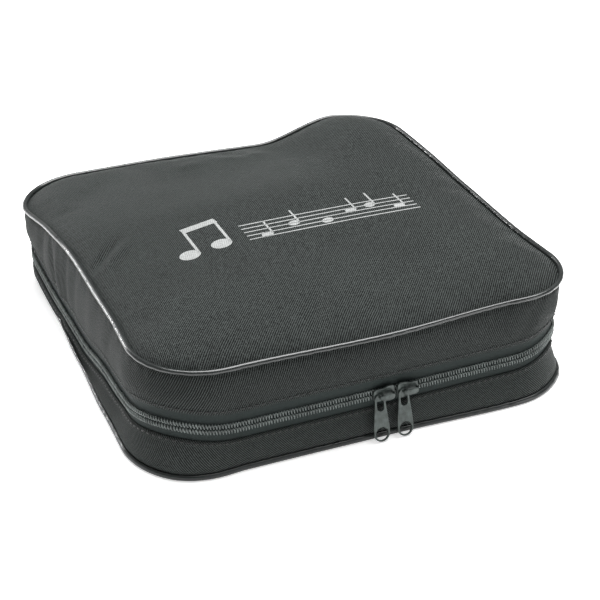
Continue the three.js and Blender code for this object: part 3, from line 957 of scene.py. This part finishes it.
def settle_lid():
    """How far each point of a sheet over the lid moves when it is let settle under its pad's pressure."""
    size = (72, 76)
    u, v = np.meshgrid(np.linspace(-1, 1, size[0]), np.linspace(-1, 1, size[1]), indexing="ij")
    x, y = spread(u, v, RIM)[:2]
    start = np.stack([x, y, lid_height(x, y)], -1)
    sheet = make("settling_sheet", start, u[:, 0], v[0])
    rim = np.flatnonzero(np.maximum(np.abs(u), np.abs(v)).ravel() > 0.985)
    sheet.vertex_groups.new(name="held").add(rim.tolist(), 1.0, "REPLACE")
    cloth = sheet.modifiers.new("Cloth", "CLOTH")
    cloth.settings.vertex_group_mass = "held"
    cloth.settings.use_pressure = True
    cloth.settings.uniform_pressure_force = 1.2
    cloth.settings.shrink_min = -0.015
    cloth.settings.tension_stiffness = cloth.settings.compression_stiffness = 25
    cloth.settings.bending_stiffness = 6
    cloth.settings.mass = 0.4
    cloth.settings.air_damping = 3
    cloth.settings.effector_weights.gravity = 0
    cloth.point_cache.frame_start, cloth.point_cache.frame_end = 1, SETTLE_STEPS
    for step_number in range(1, SETTLE_STEPS + 1):
        bpy.context.scene.frame_set(step_number)
    settled = sheet.evaluated_get(bpy.context.evaluated_depsgraph_get())
    ended = np.empty(start.size)
    settled.data.vertices.foreach_get("co", ended)
    moved = ended.reshape(start.shape)[..., 2] - start[..., 2]
    bpy.data.objects.remove(sheet)
    bpy.context.scene.frame_set(1)
    return SETTLE_LIMIT * np.tanh(moved / SETTLE_LIMIT)


RELAXED = settle_lid()
print("settled lid moved", round(float(RELAXED.min()), 4), "to", round(float(RELAXED.max()), 4))

# %% The lid's panel, pad and lining, and the base's
def level(node, part, follow=True):
    """A flat face at the height of a node's foot or head, sunk with the lid if it belongs to it."""
    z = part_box(node)[part].z
    return lambda x, y: z - (sunk(x, y) if follow else 0 * x)


LID_CLOTH = 1.1 * MM
PAD_UNDER = 1.7 * MM
PAD_INSET = 3.6 * MM
LINER_INSET = 6.9 * MM


lid = layer("lid_fabric", RIM, SEAM_OUT, lid_height, lambda x, y: lid_height(x, y) - LID_CLOTH, 200, 205)
settle(lid, "lid", lid_cloth, "fabric", "lid_panel")
def pad_top(x, y):
    """The pad's upper face, a little under the lid's cloth."""
    return lid_height(x, y) - PAD_UNDER


lid_pad = layer("lid_pad", PAD_INSET, SEAM_OUT, pad_top, level("lid_foam", 0))
settle(lid_pad, "lid", foam, "foam", "lid_foam")
lining_faces = level("lid_lining", 1), level("lid_lining", 0)
lid_liner = layer("lid_lining_cloth", LINER_INSET, SEAM_OUT, *lining_faces)
settle(lid_liner, "lid", lining_cloth, "lining", "lid_lining")

for node, finish, slot, inset, name in (
    ("base_panel", base_cloth, "fabric", RIM, "base_fabric"),
    ("base_foam", foam, "foam", 2.7 * MM, "base_pad"),
    ("base_lining", lining_cloth, "lining", LINER_INSET, "base_lining_cloth"),
):
    made = layer(name, inset, BASE_OUT, level(node, 1, False), level(node, 0, False))
    settle(made, "base", finish, slot, node)


# %% [markdown]
# ## The sliders and their pulls
#
# A slider is two shaped plates joined by a post, with a domed loop on its face, and its pull hooks round
# one end of that loop. Plates are drawn as flat outlines with rounded edges, because a stamped or cast
# plate is a flat shape with its corners broken. The loop is a flattened rod that is carried over an arch.

# %% Flat plates from outlines
def plate(name, outlines, thickness, edge, place):
    """A flat plate with rounded edges: outlines in x and z, the first round the plate and the rest round
    its holes, made solid about y = 0 and then moved to its place."""
    drawing = bpy.data.curves.new(name, "CURVE")
    drawing.dimensions = "2D"
    drawing.fill_mode = "BOTH"
    drawing.extrude = thickness / 2 - edge
    drawing.bevel_depth = edge
    drawing.bevel_resolution = 3
    drawing.offset = -edge
    for line in outlines:
        spline = drawing.splines.new("POLY")
        spline.points.add(len(line) - 1)
        flat_points = np.column_stack([line, np.zeros(len(line)), np.ones(len(line))])
        spline.points.foreach_set("co", flat_points.ravel())
        spline.use_cyclic_u = True
    flat = shown(name + "_drawing", drawing)
    bpy.context.view_layer.update()
    mesh = bpy.data.meshes.new_from_object(flat.evaluated_get(bpy.context.evaluated_depsgraph_get()))
    bpy.data.objects.remove(flat)
    points = np.empty(len(mesh.vertices) * 3)
    mesh.vertices.foreach_get("co", points)
    x, z, y = points.reshape(-1, 3).T
    mesh.vertices.foreach_set("co", (np.column_stack([x, -y, z]) + place).ravel())
    mesh.name = name
    mesh.update()
    mesh.shade_smooth()
    return shown(name, mesh)


def arc(x, z, wide, high, start, end, count=28):
    """Points on an ellipse about x, z, from one angle to another, in degrees."""
    turn = np.radians(np.linspace(start, end, count))
    return np.column_stack([x + wide * np.cos(turn), z + high * np.sin(turn)])


def rod(name, path, across, wide, thick, place):
    """A flattened rod along a path in x and y: round it, one direction is up and the other is across the
    path. Its width and its thickness may change along it."""
    turn = np.linspace(0, 2 * math.pi, 17)
    wide, thick = np.broadcast_to(wide, len(path))[:, None], np.broadcast_to(thick, len(path))[:, None]
    side, lift = thick / 2 * np.cos(turn[:-1]), wide / 2 * np.sin(turn[:-1])
    x, y = path[:, :1] + across[:, :1] * side, path[:, 1:] + across[:, 1:] * side
    points = np.stack([x, y, np.broadcast_to(lift, x.shape)], -1) + place
    return make(name, points, lengths(*path.T), turn * thick[0], False, True, True)


# %% The sliders
def slider(side, body, node, sign):
    """One slider: its front and rear plates and its domed loop. sign turns its wide end."""
    low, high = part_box(node)
    middle, height = (low.x + high.x) / 2, ZIP_Z
    length = high.x - low.x
    wide, narrow = (high.z - low.z) / 2, (high.z - low.z) / 2 * 0.8
    x = np.linspace(-length / 2, length / 2, 40)
    half = narrow + (wide - narrow) * step(sign * x, -0.1 * length, 0.2 * length)
    half = half * (1 - np.abs(2 * x / length) ** 9) ** (1 / 3)
    shape = np.column_stack([np.append(x, x[::-1]), np.append(half, -half[::-1])])
    front = Vector((middle, low.y + PLATE_BACK, height))
    parts = [plate("slider_" + side + "_front", [shape], PLATE, 0.4 * MM, front)]
    rear = (middle, high.y - PLATE / 2, height)
    parts.append(plate("slider_" + side + "_rear", [shape], PLATE, 0.3 * MM, rear))
    turn = np.linspace(math.pi, 0, 33)
    along = np.sign(np.cos(turn)) * np.abs(np.cos(turn)) ** 0.45
    arch = np.column_stack([along * 5.8 * MM, -np.sin(turn) ** 0.42 * 4.8 * MM])
    across = np.gradient(arch, axis=0)
    across = np.column_stack([across[:, 1], -across[:, 0]]) / np.hypot(*across.T)[:, None]
    swell = np.sin(turn) ** 1.5
    start = Vector((middle + 1.5 * MM, low.y + 4.6 * MM, height - 0.2 * MM))
    wide = LOOP_WIDE + LOOP_SWELL * swell
    parts.append(rod("slider_" + side + "_loop", arch, across, wide, LOOP_THICK, start))
    for part in parts:
        settle(part, body, metal, "slider", node)


PLATE = 1.4 * MM
LOOP_THICK = 1.4 * MM
LOOP_WIDE, LOOP_SWELL = 2.4 * MM, 2.8 * MM
PLATE_BACK = 4.6 * MM
slider("left", "left_slider", "slider_left", 1)
slider("right", "right_slider", "slider_right", -1)

# %% The pulls
HANG = 2.2 * MM
LEAN = math.radians(-11)
SLOT = 2.7 * MM


def pull(side, body, node):
    """One pull: a long tab that widens downwards, with a slot at its top and a large hole at its foot."""
    low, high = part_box(node)
    middle = (low.x + high.x) / 2
    top, foot, half = high.z, low.z, (high.x - low.x) / 2
    eye, hook = 4.2 * MM, half
    x_left = np.linspace(1, 0, 24)[1:-1]
    z = foot + hook + (top - eye - foot - hook) * x_left
    body_half = hook + (eye - hook) * step(x_left, 0.1, 1)
    tab = np.concatenate([
        arc(0, top - eye, eye, eye, 0, 180), np.column_stack([-body_half, z]),
        arc(0, foot + hook, hook, hook, 180, 360), np.column_stack([body_half, z])[::-1],
    ])
    slot = np.concatenate([
        arc(0, top - 4.1 * MM, SLOT, SLOT, 0, 180, 16), arc(0, top - 10.6 * MM, SLOT, SLOT, 180, 360, 16),
    ])
    hole = arc(0, foot + hook, hook - 1.5 * MM, hook - 1.3 * MM, 0, 360, 49)[:-1]
    outlines = [tab, slot[::-1], hole[::-1]]
    tab = plate("pull_" + side + "_tab", outlines, high.y - low.y, 0.42 * MM, (0, 0, 0))
    hang = Vector((middle, (low.y + high.y) / 2, top - eye - HANG))
    swing = Matrix.Rotation(LEAN, 4, "X") @ Matrix.Translation((0, 0, eye - top))
    tab.data.transform(Matrix.Translation(hang) @ swing)
    settle(tab, body, metal, "slider", node)


pull("left", "left_pull", "pull_left")
pull("right", "right_pull", "pull_right")


# %% [markdown]
# ## The print
#
# A music case carries a printed mark on its lid. This one is plain: a stave of five lines with a few
# notes, and a pair of larger notes before it. The ink is a thin film that follows the cloth.

# %% A stave and its notes
INK = 0.16 * MM


def film(name, x, y):
    """A thin film over the lid at a grid of places."""
    return make(name, np.stack([x, y, lid_height(x, y) + INK], -1), x[:, 0], y[0])


def stroke(path_x, path_y, width, count=3):
    """A stroke's grid: the path, moved sideways by up to half its width."""
    dx, dy = np.gradient(path_x), np.gradient(path_y)
    size = np.hypot(dx, dy)
    side = np.linspace(-0.5, 0.5, count) * np.broadcast_to(width, len(path_x))[:, None]
    return path_x[:, None] - side * (dy / size)[:, None], path_y[:, None] + side * (dx / size)[:, None]


def blob(x, y, wide, high, tilt):
    """A filled ellipse's grid: rings that shrink towards a small middle."""
    turn, ring_share = np.linspace(0, 2 * math.pi, 33), np.linspace(1, 0.02, 6)
    a = wide * np.cos(turn)[:, None] * ring_share
    b = high * np.sin(turn)[:, None] * ring_share
    return x + a * math.cos(tilt) - b * math.sin(tilt), y + a * math.sin(tilt) + b * math.cos(tilt)


def line(x0, y0, x1, y1, width, count=60):
    """A straight stroke's grid."""
    return stroke(np.linspace(x0, x1, count), np.linspace(y0, y1, count), width)


LINE_GAP = 6 * MM
STAVE_LOW = -36 * MM
STAVE_LEFT, STAVE_RIGHT = -42 * MM, 104 * MM
NOTES = [(-26, 1, 1), (0, 4, 1), (26, 2, 0), (50, 5, 1), (68, 6, 1), (90, 3, 1)]
rungs = STAVE_LOW + LINE_GAP * np.arange(5)
marks = [line(STAVE_LEFT, rung, STAVE_RIGHT, rung, 1.3 * MM, 160) for rung in rungs]
for along, rung, stem in NOTES:
    x, y = along * MM, STAVE_LOW + rung * LINE_GAP / 2
    marks.append(blob(x, y, 5.2 * MM, 3.7 * MM, 0.35))
    if stem:
        marks.append(line(x + 4.4 * MM, y, x + 4.4 * MM, y + 21 * MM, 1.6 * MM))
BIG = [(-92, -40), (-64, -33)]
for x, y in BIG:
    marks.append(blob(x * MM, y * MM, 9 * MM, 6.6 * MM, 0.35))
    marks.append(line((x + 7.6) * MM, y * MM, (x + 7.6) * MM, (y + 40) * MM, 2.4 * MM))
marks.append(line(-85.6 * MM, -2.5 * MM, -55.2 * MM, 5 * MM, 7 * MM))

films = [film("lid_print_%02d" % k, *mark) for k, mark in enumerate(marks)]
with bpy.context.temp_override(active_object=films[0], selected_editable_objects=films):
    bpy.ops.object.join()
lid_print = films[0]
lid_print.name = "lid_print"
settle(lid_print, "lid", ink, "piping")


# %% [markdown]
# ## Studio
#
# The case stands on a plain pale floor in soft light. A large light overhead does most of the work, a
# weaker one in front opens up the walls, and two behind draw the bright lines along the piping.

# %% Floor, light and camera
def soft_light(name, place, aim, size, power):
    """A square area light that faces a point."""
    lamp = bpy.data.lights.new(name, "AREA")
    lamp.size, lamp.energy = size, power
    holder = shown(name, lamp)
    holder.location = place
    holder.rotation_euler = (Vector(aim) - Vector(place)).to_track_quat("-Z", "Y").to_euler()


floor_mesh = bpy.data.meshes.new("floor")
FLOOR = 8
WHITE = (0.92, 0.92, 0.92, 1)
corners = [(x * FLOOR, y * FLOOR, 0) for x, y in ((-1, -1), (1, -1), (1, 1), (-1, 1))]
floor_mesh.from_pydata(corners, [], [(0, 1, 2, 3)])
floor = shown("floor", floor_mesh)
white = {"Base_Color": WHITE, "Emission_Color": WHITE}
floor_paint = Finish("pale_floor", Roughness=0.9, Emission_Strength=0.55, **white)
floor_mesh.materials.append(floor_paint.material)

world = bpy.data.worlds.new("studio")
world.use_nodes = True
world.node_tree.nodes["Background"].inputs["Color"].default_value = (1, 1, 1, 1)
world.node_tree.nodes["Background"].inputs["Strength"].default_value = 0.3
bpy.context.scene.world = world
soft_light("overhead_light", (0.6, 0.4, 2.5), (0, 0, 0.05), 2.2, 134)
soft_light("front_light", (1.7, -2.2, 0.4), (0, 0, 0.03), 1.0, 10)
soft_light("back_light", (-0.5, 2.3, 1.6), (0, 0, 0.05), 0.8, 7)
soft_light("rim_light", (-1.5, 2.2, 0.75), (0, 0, 0.05), 0.25, 15)

camera = bpy.data.cameras.new("camera")
camera.lens = 93.24
camera.sensor_width = 36
camera_object = shown("camera", camera)
EYE, LOOK = Vector((-0.4234, -1.0141, 0.6562)), Vector((-0.00665, -0.05056, 0.045))
camera_object.location = EYE
camera_object.rotation_euler = (LOOK - EYE).to_track_quat("-Z", "Y").to_euler()
bpy.context.scene.camera = camera_object
bpy.context.scene.view_settings.view_transform = "Standard"
print("camera", round((LOOK - EYE).length, 3), "m from the case")
